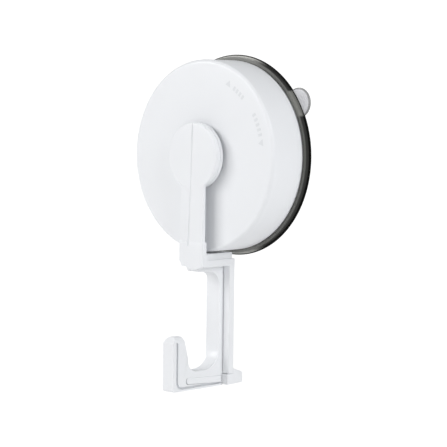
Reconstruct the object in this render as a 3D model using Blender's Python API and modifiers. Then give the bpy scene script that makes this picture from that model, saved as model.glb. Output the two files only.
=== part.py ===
"""Suction hook with a twist lock: pad, base, turning cover, cam, stem, and a swivelling arm with a J hook.

Metres, +Z up. The wall is the plane Y = 0, the hook faces -Y, and the origin is the middle of the pad's back.
Every shape is drawn in the face frame: x to the right, y up, z out from the wall. One empty turns it upright.
"""

import math

import bmesh
import bpy
from mathutils import Matrix

GAP = 0.0003  # running gap between neighbours
STEPS = 72  # facets round a large turned piece
SMALL_STEPS = 24  # facets round a pin or a screw

# Pad: a soft disc with a lip, a low wall round the base, and a pull tab
PAD_RADIUS = 0.043
PAD_THICKNESS = 0.0022
PAD_LIP_HEIGHT = 0.0018
PAD_FOOT_RADIUS = 0.0413  # the lip draws in towards the wall
PAD_WALL_RADIUS = 0.0420
PAD_WALL_TOP = 0.0041
PAD_BOSS_RADIUS = 0.0093
PAD_BOSS_TOP = 0.0032
TAB_ANGLE = math.radians(32.7)
TAB_WIDTH = 0.0126
TAB_REACH = 0.0485
TAB_ROOT = 0.0400
TAB_LOW = 0.0009
TAB_HIGH = 0.0020

# Base: a stiff dish with a tubular pillar in the middle
BASE_RADIUS = 0.0400
BASE_LOW = 0.0025
WEB_LOW = 0.0036
WEB_TOP = 0.0058
BASE_RING_RADIUS = 0.0381
BASE_RING_WALL = 0.0020
BASE_RING_TOP = 0.0080
PILLAR_RADIUS = 0.0090
PILLAR_BORE = 0.0070
PILLAR_TOP = 0.0236
PILLAR_WALL_LOW = 0.0215
SPIGOT_RADIUS = 0.0068
SPIGOT_TOP = 0.0256
SPIGOT_BORE = 0.0043
RIB_COUNT = 6
RIB_INNER = 0.0205
RIB_WIDTH = 0.0016

# Lock: the cover turns the cam ring a quarter turn, and its ramps lift the cross pin
LIFT = 0.0030
QUARTER = math.radians(90)
PIN_HEIGHT = 0.0120
PIN_RADIUS = 0.00125
PIN_HALF_LENGTH = 0.0125
STEM_RADIUS = 0.0045
STEM_TOP = 0.0150
STEM_FOOT_RADIUS = 0.0066
STEM_FOOT_LOW = 0.0015
STEM_FOOT_HIGH = 0.0029
POCKET_FLOOR = 0.0012
WASHER_OUTER = 0.0128
WASHER_LOW = 0.0061
WASHER_HIGH = 0.0069
CAM_BORE = 0.0093
CAM_RADIUS = 0.0130
CAM_LOW = 0.0072
CAM_RAMP_LOW = PIN_HEIGHT - PIN_RADIUS - GAP
CAM_DWELL = math.radians(15)
CAM_FLANGE_RADIUS = 0.0190
CAM_FLANGE_LOW = 0.0076
CAM_FLANGE_HIGH = 0.0092
SCREW_CIRCLE = 0.0160
SCREW_ANGLES = [math.radians(a) for a in (90, 210, 330)]
SCREW_HEAD_RADIUS = 0.0022
SCREW_HEAD_LOW = 0.0063
SCREW_HEAD_HIGH = 0.0073
SCREW_SHANK_RADIUS = 0.0011
SCREW_TOP = 0.0170
SCREW_POINT = 0.0010  # length of a screw's tapered end
HEAD_EDGE = 0.0003
RECESS_SHARE = 0.62  # a cross recess reaches this far out on the head
RECESS_HALF = 0.0003
RECESS_DEPTH = 0.0006
SCREW_HOLE = 0.0014
BOSS_RADIUS = 0.0030
BOSS_LOW = 0.0095
STOP_PIN_ANGLE = math.radians(225)
STOP_PIN_RADIUS = 0.0012
STOP_PIN_LOW = 0.0039
STOP_PIN_HIGH = 0.0089

# Cover: a cup that turns on the pillar
COVER_RADIUS = 0.0405
COVER_WALL = 0.0020
COVER_REAR = 0.0044
COVER_FRONT = 0.0226
COVER_EDGE = 0.0008
COVER_BORE = PILLAR_RADIUS + GAP

# Pivot of the arm, at the pillar's end
COLLAR_RADIUS = 0.0138
COLLAR_LOW = 0.0239
COLLAR_HIGH = 0.0256
PIVOT_BOSS_RADIUS = 0.0040
PIVOT_BOSS_LOW = 0.0214
PIVOT_BORE = 0.00155
PIVOT_BORE_TOP = 0.0270
PIVOT_WASHER_BORE = 0.0017
PIVOT_WASHER_RADIUS = 0.0065
PIVOT_WASHER_LOW = 0.0201
PIVOT_WASHER_HIGH = 0.0211
PIVOT_HEAD_RADIUS = 0.0032
PIVOT_HEAD_LOW = 0.0185
PIVOT_HEAD_HIGH = 0.0198
PIVOT_SHANK_RADIUS = 0.00125
PIVOT_SHANK_TOP = 0.0265

# Hook: hub, arm, block, shelf, column and J, one moulding
HUB_RADIUS = 0.0140
HUB_LOW = 0.0259
HUB_FRONT = 0.0283
ARM_HALF = 0.0069
ARM_LOW = 0.0269
ARM_FRONT = 0.0282
ARM_FILLET = 0.0020
ARM_RIB_HALF = 0.0044
BLOCK_TOP = -0.0360
BLOCK_FRONT = 0.0287
BLOCK_SIDE_END = -0.0451
BLOCK_END = -0.0478
SHELF_TOP = -0.0437
SHELF_THICKNESS = 0.0030
SHELF_RIB_HALF = 0.0060
SHELF_RIB_TOP = -0.0411
UNDER_RIB_LOW = -0.0488
PLATE_REAR = 0.0085
PLATE_FRONT = 0.0117
PLATE_END = -0.0932
COLUMN_HALF = 0.0031
COLUMN_FRONT = 0.0139
CORNER_FILLET = 0.0070
THROAT_FRONT = 0.0326
THROAT_LOW = -0.0908
THROAT_REAR_ROUND = 0.0090
THROAT_ROUND = 0.0055
POST_FRONT = 0.0413
POST_TOP = -0.0753
POST_TIP_REAR = 0.0352
POST_ROUND = 0.0022
HOOK_LOW = -0.0984
HOOK_CORNER = 0.0012
HOOK_REAR = 0.0116

# Foot: a block at the wall with two prongs that grip the hook's web
FOOT_HALF = 0.0047  # at the wall
FOOT_FRONT_HALF = 0.0064
FOOT_LOW = -0.0980
FOOT_REAR = 0.0011
FOOT_MIDDLE = 0.0076  # the block is tall up to here, behind the plate
FOOT_FRONT = 0.0119
FOOT_TOP_REAR = -0.0934
FOOT_TOP_FRONT = -0.0914
FOOT_TOP_FLAT = 0.0012
FOOT_STEP = PLATE_END - GAP
FOOT_NOTCH_REAR = 0.0106
FOOT_PAD_HIGH = 0.0008
FOOT_PAD_INSET = 0.0005
FOOT_TRAVEL = 0.0006
CHANNEL_END = 0.0334
WEB_HALF = 0.0010
PRONG_FRONT_TOP = -0.0933
PRONG_FRONT_LOW = -0.0958
PRONG_REAR_TOP = -0.0941
PRONG_REAR_LOW = -0.0970
PRONG_END = 0.0325
PRONG_INNER = 0.0013
PRONG_OUTER = 0.0028
KEEPER_RADIUS = 0.0007
KEEPER_DEPTH = 0.0303
KEEPER_HEIGHT = -0.0946

WHITE = (0.86, 0.87, 0.89, 1.0)
SMOKE = (0.10, 0.10, 0.10, 1.0)
NATURAL = (0.75, 0.74, 0.70, 1.0)
STEEL = (0.60, 0.61, 0.62, 1.0)
SOFT_GREY = (0.74, 0.75, 0.76, 1.0)


def clear_scene():
    for obj in list(bpy.data.objects):
        bpy.data.objects.remove(obj, do_unlink=True)


def new_collection(name):
    collection = bpy.data.collections.new(name)
    bpy.context.scene.collection.children.link(collection)
    return collection


def new_material(name, colour, roughness, metallic=0.0):
    material = bpy.data.materials.new(name)
    material.use_nodes = True
    shader = material.node_tree.nodes["Principled BSDF"]
    shader.inputs["Base Color"].default_value = colour
    shader.inputs["Roughness"].default_value = roughness
    shader.inputs["Metallic"].default_value = metallic
    return material


def new_empty(name, parent=None):
    empty = bpy.data.objects.new(name, None)
    parts.objects.link(empty)
    empty.parent = parent
    return empty


def solid(name, mesh, parent, material):
    """One visible piece."""
    obj = bpy.data.objects.new(name, mesh)
    parts.objects.link(obj)
    obj.parent = parent
    mesh.materials.append(material)
    return obj


def helper(name, mesh):
    """A shape that is only added to a piece or cut from it."""
    obj = bpy.data.objects.new(name, mesh)
    cutters.objects.link(obj)
    obj.parent = face
    obj.hide_render = True
    obj.display_type = "WIRE"
    return obj


def combine(obj, other, operation):
    modifier = obj.modifiers.new(operation.lower() + "_" + other.name, "BOOLEAN")
    modifier.operation = operation
    modifier.object = other
    return obj


def cut(obj, mesh, name):
    return combine(obj, helper(obj.name + "_" + name, mesh), "DIFFERENCE")


def add(obj, mesh, name):
    return combine(obj, helper(obj.name + "_" + name, mesh), "UNION")


def smooth(obj):
    obj.data.shade_smooth()
    obj.data.set_sharp_from_angle(angle=math.radians(35))
    return obj


def mesh_from(obj):
    """The evaluated mesh of a temporary object, with its loose seams welded."""
    bpy.context.view_layer.update()
    graph = bpy.context.evaluated_depsgraph_get()
    mesh = bpy.data.meshes.new_from_object(obj.evaluated_get(graph))
    bpy.data.objects.remove(obj, do_unlink=True)
    body = bmesh.new()
    body.from_mesh(mesh)
    bmesh.ops.remove_doubles(body, verts=body.verts, dist=1e-6)
    body.to_mesh(mesh)
    body.free()
    return mesh


def turned(profile, steps=STEPS, closed=False):
    """A profile of (radius, height) points, outer side from top to bottom, turned about the z axis."""
    mesh = bpy.data.meshes.new("profile")
    body = bmesh.new()
    points = [body.verts.new((r, 0.0, h)) for r, h in profile]
    for first, second in zip(points, points[1:]):
        body.edges.new((first, second))
    if closed:
        body.edges.new((points[-1], points[0]))
    body.to_mesh(mesh)
    body.free()
    obj = bpy.data.objects.new("turned", mesh)
    parts.objects.link(obj)
    screw = obj.modifiers.new("turn", "SCREW")
    screw.axis = "Z"
    screw.steps = steps
    screw.render_steps = steps
    screw.use_merge_vertices = True
    screw.merge_threshold = 0.000001
    return mesh_from(obj)


def extruded(outlines, low, high):
    """Flat outlines in x and y, filled, from height low to height high."""
    curve = bpy.data.curves.new("outline", "CURVE")
    curve.dimensions = "2D"
    curve.fill_mode = "BOTH"
    curve.extrude = 0.5 * (high - low)
    for outline in outlines:
        spline = curve.splines.new("POLY")
        spline.points.add(len(outline) - 1)
        for point, (x, y) in zip(spline.points, outline):
            point.co = (x, y, 0.0, 1.0)
        spline.use_cyclic_u = True
    obj = bpy.data.objects.new("outline", curve)
    parts.objects.link(obj)
    mesh = mesh_from(obj)
    mesh.transform(Matrix.Translation((0.0, 0.0, 0.5 * (high + low))))
    return mesh


def side_extruded(outlines, low, high):
    """Flat outlines in depth and height, seen from the side, filled from x = low to x = high."""
    mesh = extruded(outlines, -high, -low)
    mesh.transform(Matrix.Rotation(-0.5 * math.pi, 4, "Y"))
    return mesh


def plan_extruded(outline, low, high):
    """Extrudes an outline of x and depth from one height to another."""
    mesh = extruded([outline], low, high)
    mesh.transform(Matrix(((1, 0, 0, 0), (0, 0, 1, 0), (0, 1, 0, 0), (0, 0, 0, 1))))
    mesh.flip_normals()
    return mesh


def box(low, high):
    body = bmesh.new()
    bmesh.ops.create_cube(body, size=1.0)
    for vert in body.verts:
        vert.co = [a + (c + 0.5) * (b - a) for a, b, c in zip(low, high, vert.co)]
    mesh = bpy.data.meshes.new("box")
    body.to_mesh(mesh)
    body.free()
    return mesh


def rod(radius, low, high, centre=(0.0, 0.0), steps=SMALL_STEPS):
    """A cylinder along z."""
    body = bmesh.new()
    bmesh.ops.create_cone(
        body, cap_ends=True, segments=steps, radius1=radius, radius2=radius, depth=high - low
    )
    mesh = bpy.data.meshes.new("rod")
    body.to_mesh(mesh)
    body.free()
    mesh.transform(Matrix.Translation((*centre, 0.5 * (low + high))))
    return mesh


def cross_rod(radius, half, height, depth):
    """A cylinder along x."""
    mesh = rod(radius, -half, half)
    mesh.transform(Matrix.Rotation(0.5 * math.pi, 4, "Y"))
    mesh.transform(Matrix.Translation((0.0, height, depth)))
    return mesh


def arc(centre, radius, start, end, steps=12):
    """Points of an arc, angles in degrees."""
    points = []
    for i in range(steps + 1):
        angle = math.radians(start + (end - start) * i / steps)
        points.append((centre[0] + radius * math.cos(angle), centre[1] + radius * math.sin(angle)))
    return points


def at_angle(radius, angle):
    return (radius * math.cos(angle), radius * math.sin(angle))


def make_pad():
    profile = [
        (0.0, POCKET_FLOOR),
        (STEM_FOOT_RADIUS + GAP, POCKET_FLOOR),
        (STEM_FOOT_RADIUS + GAP, PAD_BOSS_TOP),
        (PAD_BOSS_RADIUS, PAD_BOSS_TOP),
        (PAD_BOSS_RADIUS, PAD_THICKNESS),
        (BASE_RADIUS + GAP, PAD_THICKNESS),
        (BASE_RADIUS + GAP, PAD_WALL_TOP),
        (PAD_WALL_RADIUS, PAD_WALL_TOP),
        (PAD_WALL_RADIUS, PAD_THICKNESS),
        (PAD_RADIUS - 0.0003, PAD_THICKNESS),
        (PAD_RADIUS, PAD_LIP_HEIGHT),
        (PAD_FOOT_RADIUS, 0.0),
        (0.0, 0.0),
    ]
    half = 0.5 * TAB_WIDTH
    tip = arc((TAB_REACH - half, 0.0), half, -90, 90)
    tab = extruded([[(TAB_ROOT, -half)] + tip + [(TAB_ROOT, half)]], TAB_LOW, TAB_HIGH)
    tab.transform(Matrix.Rotation(TAB_ANGLE, 4, "Z"))
    pad = solid("suction_pad", turned(profile), root_body, new_material("smoke_tpu", SMOKE, 0.15))
    return smooth(add(pad, tab, "tab"))


def make_base():
    profile = [
        (SPIGOT_RADIUS, SPIGOT_TOP),
        (SPIGOT_RADIUS, PILLAR_TOP),
        (PILLAR_RADIUS, PILLAR_TOP),
        (PILLAR_RADIUS, WEB_TOP),
        (BASE_RING_RADIUS - BASE_RING_WALL, WEB_TOP),
        (BASE_RING_RADIUS - BASE_RING_WALL, BASE_RING_TOP),
        (BASE_RING_RADIUS, BASE_RING_TOP),
        (BASE_RING_RADIUS, PAD_WALL_TOP),
        (BASE_RADIUS, PAD_WALL_TOP),
        (BASE_RADIUS, BASE_LOW),
        (BASE_RING_RADIUS - BASE_RING_WALL, BASE_LOW),
        (BASE_RING_RADIUS - BASE_RING_WALL, WEB_LOW),
        (PILLAR_BORE, WEB_LOW),
        (PILLAR_BORE, PILLAR_WALL_LOW),
        (SPIGOT_BORE, PILLAR_WALL_LOW),
        (SPIGOT_BORE, SPIGOT_TOP),
    ]
    base = solid("base_shell", turned(profile, closed=True), root_body, white)
    for i in range(RIB_COUNT):
        rib = box(
            (RIB_INNER, -0.5 * RIB_WIDTH, WEB_TOP - 0.0005),
            (BASE_RING_RADIUS - 0.001, 0.5 * RIB_WIDTH, BASE_RING_TOP - 0.0006),
        )
        rib.transform(Matrix.Rotation(math.radians(360 * i / RIB_COUNT), 4, "Z"))
        add(base, rib, f"rib_{i + 1}")
    window = box(
        (-PILLAR_RADIUS - 0.001, -PIN_RADIUS - GAP, PIN_HEIGHT - PIN_RADIUS - GAP),
        (PILLAR_RADIUS + 0.001, PIN_RADIUS + GAP, PIN_HEIGHT + PIN_RADIUS + LIFT + GAP),
    )
    cut(base, window, "pin_window")
    centre = at_angle(SCREW_CIRCLE, STOP_PIN_ANGLE)
    cut(base, rod(STOP_PIN_RADIUS + GAP, STOP_PIN_LOW - GAP, WEB_TOP + 0.001, centre), "stop_hole")
    return smooth(base)


def make_washer(name, bore, radius, low, high, parent, material, steps=48):
    profile = [(radius, high), (radius, low), (bore, low), (bore, high)]
    return smooth(solid(name, turned(profile, steps, closed=True), parent, material))


def make_stem():
    profile = [
        (0.0, STEM_TOP),
        (STEM_RADIUS - 0.0006, STEM_TOP),
        (STEM_RADIUS, STEM_TOP - 0.0006),
        (STEM_RADIUS, STEM_FOOT_HIGH),
        (STEM_FOOT_RADIUS, STEM_FOOT_HIGH),
        (STEM_FOOT_RADIUS, STEM_FOOT_LOW),
        (0.0, STEM_FOOT_LOW),
    ]
    stem = solid("pad_stem", turned(profile, 48), stem_body, white)
    cut(stem, cross_rod(PIN_RADIUS + GAP, 0.006, 0.0, PIN_HEIGHT), "pin_hole")
    smooth(stem)
    pin = cross_rod(PIN_RADIUS, PIN_HALF_LENGTH, 0.0, PIN_HEIGHT)
    return smooth(solid("cross_pin", pin, stem_body, steel))


def ramp_height(angle):
    """Height of the cam's top at an angle: low, up over a quarter turn, a short dwell, then down."""
    turn = angle % math.pi
    if turn <= QUARTER:
        return LIFT * turn / QUARTER
    fall_start = QUARTER + CAM_DWELL
    fall_end = math.pi - CAM_DWELL
    if turn <= fall_start:
        return LIFT
    return LIFT * max(0.0, (fall_end - turn) / (fall_end - fall_start))


def make_cam():
    profile = [
        (CAM_RADIUS, CAM_RAMP_LOW),
        (CAM_RADIUS, CAM_FLANGE_HIGH),
        (CAM_FLANGE_RADIUS, CAM_FLANGE_HIGH),
        (CAM_FLANGE_RADIUS, CAM_FLANGE_LOW),
        (CAM_RADIUS, CAM_FLANGE_LOW),
        (CAM_RADIUS, CAM_LOW),
        (CAM_BORE, CAM_LOW),
        (CAM_BORE, CAM_RAMP_LOW),
    ]
    mesh = turned(profile, STEPS, closed=True)
    for vert in mesh.vertices:
        if vert.co.z > CAM_RAMP_LOW - 0.0001:
            vert.co.z += ramp_height(math.atan2(vert.co.y, vert.co.x))
    cam = solid("cam_ring", mesh, cover_body, natural)
    low = CAM_FLANGE_LOW - 0.001
    high = CAM_FLANGE_HIGH + 0.001
    for number, angle in enumerate(SCREW_ANGLES, 1):
        hole = rod(SCREW_HOLE, low, high, at_angle(SCREW_CIRCLE, angle), 16)
        cut(cam, hole, f"screw_hole_{number}")
    reach = STOP_PIN_RADIUS + GAP
    start = math.degrees(STOP_PIN_ANGLE)
    end = start + math.degrees(QUARTER)
    centre_start = at_angle(SCREW_CIRCLE, STOP_PIN_ANGLE)
    centre_end = at_angle(SCREW_CIRCLE, STOP_PIN_ANGLE + QUARTER)
    slot = (
        arc((0.0, 0.0), SCREW_CIRCLE + reach, start, end, 24)
        + arc(centre_end, reach, end, end + 180, 8)
        + arc((0.0, 0.0), SCREW_CIRCLE - reach, end, start, 24)
        + arc(centre_start, reach, start + 180, start + 360, 8)
    )
    cut(cam, extruded([slot], low, high), "stop_slot")
    return smooth(cam)


def make_screw(name, head_radius, head_low, head_high, shank_radius, top, centre, parent):
    profile = [
        (0.0, top),
        (shank_radius * 0.5, top),
        (shank_radius, top - SCREW_POINT),
        (shank_radius, head_high),
        (head_radius, head_high),
        (head_radius, head_low + HEAD_EDGE),
        (head_radius - HEAD_EDGE, head_low),
        (0.0, head_low),
    ]
    mesh = turned(profile, SMALL_STEPS)
    mesh.transform(Matrix.Translation((*centre, 0.0)))
    screw = solid(name, mesh, parent, steel)
    slot = head_radius * RECESS_SHARE
    for number, (wide, narrow) in enumerate(((slot, RECESS_HALF), (RECESS_HALF, slot)), 1):
        recess = box(
            (centre[0] - wide, centre[1] - narrow, head_low - RECESS_DEPTH),
            (centre[0] + wide, centre[1] + narrow, head_low + RECESS_DEPTH),
        )
        cut(screw, recess, f"recess_{number}")
    return smooth(screw)


def make_cover():
    edge = arc((COVER_RADIUS - COVER_EDGE, COVER_FRONT - COVER_EDGE), COVER_EDGE, 90, 0, 4)
    profile = (
        [(COVER_BORE, COVER_FRONT)]
        + edge
        + [
            (COVER_RADIUS, COVER_REAR),
            (COVER_RADIUS - COVER_WALL, COVER_REAR),
            (COVER_RADIUS - COVER_WALL, COVER_FRONT - COVER_WALL),
            (COVER_BORE, COVER_FRONT - COVER_WALL),
        ]
    )
    cover = solid("twist_cover", turned(profile, 96, closed=True), cover_body, white)
    for number, angle in enumerate(SCREW_ANGLES, 1):
        centre = at_angle(SCREW_CIRCLE, angle)
        add(cover, rod(BOSS_RADIUS, BOSS_LOW, COVER_FRONT - 0.001, centre), f"boss_{number}")
    for number, angle in enumerate(SCREW_ANGLES, 1):
        centre = at_angle(SCREW_CIRCLE, angle)
        cut(cover, rod(SCREW_HOLE, BOSS_LOW - 0.001, SCREW_TOP + 0.0005, centre, 16), f"boss_hole_{number}")
    return smooth(cover)


def keyhole_outline():
    """The arm with its two concave corners where it meets the hub."""
    reach = HUB_RADIUS + ARM_FILLET
    side = ARM_HALF + ARM_FILLET
    corner = (side, -math.sqrt(reach**2 - side**2))
    meet = math.degrees(math.atan2(-corner[1], -corner[0]))
    right = arc(corner, ARM_FILLET, meet, 180, 8)
    left = [(-x, y) for x, y in reversed(right)]
    end = [(ARM_HALF, BLOCK_TOP - 0.001), (-ARM_HALF, BLOCK_TOP - 0.001)]
    return right + end + left


def block_outline():
    return [
        (-ARM_HALF, BLOCK_TOP),
        (-ARM_HALF, BLOCK_SIDE_END),
        (-0.0040, BLOCK_SIDE_END - 0.0017),
        (-0.0018, BLOCK_END),
        (0.0018, BLOCK_END),
        (0.0040, BLOCK_SIDE_END - 0.0017),
        (ARM_HALF, BLOCK_SIDE_END),
        (ARM_HALF, BLOCK_TOP),
    ]


def hook_outline():
    """Side view of the narrow part: under-rib, column, throat, post and bottom bar."""
    corner = (COLUMN_FRONT + CORNER_FILLET, UNDER_RIB_LOW - CORNER_FILLET)
    throat_rear = (COLUMN_FRONT + THROAT_REAR_ROUND, THROAT_LOW + THROAT_REAR_ROUND)
    throat_front = (THROAT_FRONT - THROAT_ROUND, THROAT_LOW + THROAT_ROUND)
    tip_rear = (POST_TIP_REAR + POST_ROUND, POST_TOP - POST_ROUND)
    tip_front = (POST_FRONT - POST_ROUND, POST_TOP - POST_ROUND)
    low_front = (POST_FRONT - HOOK_CORNER, HOOK_LOW + HOOK_CORNER)
    return (
        [(PLATE_FRONT - 0.001, SHELF_TOP - 0.001), (BLOCK_FRONT - 0.0008, SHELF_TOP - 0.001)]
        + [(BLOCK_FRONT - 0.0008, UNDER_RIB_LOW + 0.0015), (BLOCK_FRONT - 0.0026, UNDER_RIB_LOW)]
        + arc(corner, CORNER_FILLET, 90, 180)
        + arc(throat_rear, THROAT_REAR_ROUND, 180, 270)
        + arc(throat_front, THROAT_ROUND, 270, 360)
        + arc(tip_rear, POST_ROUND, 170, 90, 5)
        + arc(tip_front, POST_ROUND, 90, 0, 5)
        + arc(low_front, HOOK_CORNER, 0, -90, 4)
        + [(HOOK_REAR, HOOK_LOW), (HOOK_REAR, PLATE_END - 0.0004), (PLATE_FRONT - 0.001, PLATE_END)]
    )


def prong_outline(front, rear, clearance):
    """Side view of a prong that tapers down towards the wall, or of its channel with a clearance."""
    return [
        (front, PRONG_FRONT_LOW - clearance),
        (front, PRONG_FRONT_TOP + clearance),
        (rear, PRONG_REAR_TOP + clearance),
        (rear, PRONG_REAR_LOW - clearance),
    ]


def make_hook():
    hub = rod(HUB_RADIUS, HUB_LOW, HUB_FRONT, steps=STEPS)
    hook = solid("hook_bracket", hub, hook_body, white)
    add(hook, extruded([keyhole_outline()], ARM_LOW, ARM_FRONT), "arm")
    arm_rib = box((-ARM_RIB_HALF, BLOCK_TOP - 0.001, HUB_LOW), (ARM_RIB_HALF, -0.008, ARM_LOW + 0.0004))
    add(hook, arm_rib, "arm_rib")
    add(hook, extruded([block_outline()], HUB_LOW, BLOCK_FRONT), "block")
    shelf = box(
        (-ARM_HALF, SHELF_TOP - SHELF_THICKNESS, PLATE_REAR), (ARM_HALF, SHELF_TOP, BLOCK_FRONT - 0.001)
    )
    add(hook, shelf, "shelf")
    shelf_rib = box(
        (-SHELF_RIB_HALF, SHELF_TOP - 0.001, PLATE_REAR + 0.0008),
        (SHELF_RIB_HALF, SHELF_RIB_TOP, BLOCK_FRONT - 0.0012),
    )
    add(hook, shelf_rib, "shelf_rib")
    plate = box((-ARM_HALF, PLATE_END, PLATE_REAR), (ARM_HALF, SHELF_TOP - 0.001, PLATE_FRONT))
    add(hook, plate, "plate")
    add(hook, side_extruded([hook_outline()], -COLUMN_HALF, COLUMN_HALF), "j_hook")
    add(hook, rod(PIVOT_BOSS_RADIUS, PIVOT_BOSS_LOW, HUB_FRONT - 0.001, steps=32), "pivot_boss")
    cut(hook, rod(PIVOT_BORE, PIVOT_BOSS_LOW - 0.001, PIVOT_BORE_TOP), "pivot_bore")
    channel = prong_outline(CHANNEL_END, HOOK_REAR - 0.003, GAP)
    for name, low, high in (("left", -0.004, -WEB_HALF), ("right", WEB_HALF, 0.004)):
        cut(hook, side_extruded([channel], low, high), f"channel_{name}")
    reach = KEEPER_RADIUS + GAP
    travel = KEEPER_DEPTH + FOOT_TRAVEL
    slot = arc((KEEPER_DEPTH, KEEPER_HEIGHT), reach, 90, 270, 8)
    slot += arc((travel, KEEPER_HEIGHT), reach, -90, 90, 8)
    cut(hook, side_extruded([slot], -0.002, 0.002), "keeper_slot")
    return smooth(hook)


def make_foot():
    """A block at the wall, sloping down to it, whose two prongs lie in the hook's channels."""
    outline = [
        (FOOT_REAR, FOOT_LOW),
        (FOOT_FRONT, FOOT_LOW),
        (FOOT_FRONT, FOOT_STEP),
        (FOOT_MIDDLE, FOOT_STEP),
        (FOOT_MIDDLE, FOOT_TOP_FRONT),
        (FOOT_MIDDLE - FOOT_TOP_FLAT, FOOT_TOP_FRONT),
        (FOOT_REAR, FOOT_TOP_REAR),
    ]
    block = side_extruded([outline], -FOOT_FRONT_HALF, FOOT_FRONT_HALF)
    foot = solid("wall_foot", block, foot_body, white)
    out, above, below = FOOT_FRONT_HALF + 0.002, FOOT_TOP_FRONT + 0.001, FOOT_LOW - 0.001
    for name, side in (("left", -1), ("right", 1)):
        taper = [(side * FOOT_HALF, 0.0), (side * FOOT_FRONT_HALF, FOOT_FRONT), (side * out, FOOT_FRONT), (side * out, 0.0)]
        cut(foot, plan_extruded(taper if side < 0 else taper[::-1], below, above), f"taper_{name}")
    notch = COLUMN_HALF + GAP
    cut(foot, box((-notch, below, FOOT_NOTCH_REAR), (notch, above, FOOT_FRONT + 0.001)), "hook_notch")
    prong = prong_outline(PRONG_END, FOOT_NOTCH_REAR - 0.001, 0.0)
    for name, low, high in (("left", -PRONG_OUTER, -PRONG_INNER), ("right", PRONG_INNER, PRONG_OUTER)):
        add(foot, side_extruded([prong], low, high), f"prong_{name}")
    cut(foot, cross_rod(KEEPER_RADIUS + GAP, 0.004, KEEPER_HEIGHT, KEEPER_DEPTH), "keeper_hole")
    keeper = cross_rod(KEEPER_RADIUS, PRONG_OUTER - 0.0001, KEEPER_HEIGHT, KEEPER_DEPTH)
    smooth(solid("keeper_pin", keeper, foot_body, white))
    low = (-FOOT_HALF + FOOT_PAD_INSET, FOOT_LOW + FOOT_PAD_INSET, 0.0)
    high = (FOOT_HALF - FOOT_PAD_INSET, FOOT_TOP_REAR - FOOT_PAD_INSET, FOOT_PAD_HIGH)
    solid("foot_pad", box(low, high), foot_body, new_material("soft_grey", SOFT_GREY, 0.7))
    return foot


clear_scene()
parts = new_collection("suction_hook")
cutters = new_collection("cutters")

face = new_empty("face_frame")
face.rotation_euler = (0.5 * math.pi, 0.0, 0.0)
root_body = new_empty("base_body", face)
cover_body = new_empty("cover_turn", face)
stem_body = new_empty("stem_slide", face)
hook_body = new_empty("arm_swivel", face)
foot_body = new_empty("foot_slide", hook_body)

white = new_material("white_plastic", WHITE, 0.35)
natural = new_material("natural_plastic", NATURAL, 0.45)
steel = new_material("steel", STEEL, 0.3, 1.0)

make_pad()
make_base()
make_washer("friction_washer", CAM_BORE, WASHER_OUTER, WASHER_LOW, WASHER_HIGH, root_body, natural)
stop_centre = at_angle(SCREW_CIRCLE, STOP_PIN_ANGLE)
smooth(solid("stop_pin", rod(STOP_PIN_RADIUS, STOP_PIN_LOW, STOP_PIN_HIGH, stop_centre), root_body, steel))
collar = (SPIGOT_RADIUS + GAP, COLLAR_RADIUS, COLLAR_LOW, COLLAR_HIGH)
make_washer("pivot_collar", *collar, root_body, white, STEPS)
make_stem()
make_cam()
for number, angle in enumerate(SCREW_ANGLES, 1):
    centre = at_angle(SCREW_CIRCLE, angle)
    head = (SCREW_HEAD_RADIUS, SCREW_HEAD_LOW, SCREW_HEAD_HIGH)
    make_screw(f"cam_screw_{number}", *head, SCREW_SHANK_RADIUS, SCREW_TOP, centre, cover_body)
make_cover()
make_hook()
washer = (PIVOT_WASHER_BORE, PIVOT_WASHER_RADIUS, PIVOT_WASHER_LOW, PIVOT_WASHER_HIGH)
make_washer("pivot_washer", *washer, hook_body, steel)
head = (PIVOT_HEAD_RADIUS, PIVOT_HEAD_LOW, PIVOT_HEAD_HIGH)
make_screw("pivot_screw", *head, PIVOT_SHANK_RADIUS, PIVOT_SHANK_TOP, (0.0, 0.0), hook_body)
make_foot()
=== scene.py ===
# Twist-lock suction hook: the finished surfaces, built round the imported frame.
# Shapes are drawn in the face frame (x right, y up, z out from the wall), in metres, then turned upright.
import math
import bmesh
import bpy
from mathutils import Matrix, Vector


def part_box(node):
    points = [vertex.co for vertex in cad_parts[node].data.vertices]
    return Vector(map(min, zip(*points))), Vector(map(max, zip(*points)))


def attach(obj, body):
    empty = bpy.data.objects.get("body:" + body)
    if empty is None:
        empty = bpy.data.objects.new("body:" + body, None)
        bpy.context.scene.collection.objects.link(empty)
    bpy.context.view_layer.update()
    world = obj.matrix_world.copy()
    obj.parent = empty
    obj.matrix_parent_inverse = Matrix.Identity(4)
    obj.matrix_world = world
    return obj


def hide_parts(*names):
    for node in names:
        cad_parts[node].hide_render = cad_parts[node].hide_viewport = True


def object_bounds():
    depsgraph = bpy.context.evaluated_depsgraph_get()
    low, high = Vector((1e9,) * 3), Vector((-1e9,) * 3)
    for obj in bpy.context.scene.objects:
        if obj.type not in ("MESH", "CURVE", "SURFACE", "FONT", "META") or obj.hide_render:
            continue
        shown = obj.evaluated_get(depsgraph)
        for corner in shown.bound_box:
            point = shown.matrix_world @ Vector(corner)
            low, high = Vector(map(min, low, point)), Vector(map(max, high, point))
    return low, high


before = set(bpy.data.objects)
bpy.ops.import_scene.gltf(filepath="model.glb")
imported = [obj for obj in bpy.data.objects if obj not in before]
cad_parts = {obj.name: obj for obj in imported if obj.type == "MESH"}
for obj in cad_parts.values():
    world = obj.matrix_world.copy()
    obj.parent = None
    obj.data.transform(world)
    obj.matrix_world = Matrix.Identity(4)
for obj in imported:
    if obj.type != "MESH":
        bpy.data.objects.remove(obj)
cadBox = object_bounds()
upright = Matrix(((1, 0, 0, 0), (0, 0, -1, 0), (0, 1, 0, 0), (0, 0, 0, 1)))  # face frame to world
weldDistance = 1e-6  # points nearer than this become one
past = 0.001  # how far a cutter or a joined piece reaches past a face
print("frame loaded:", len(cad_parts), "nodes")


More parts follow.
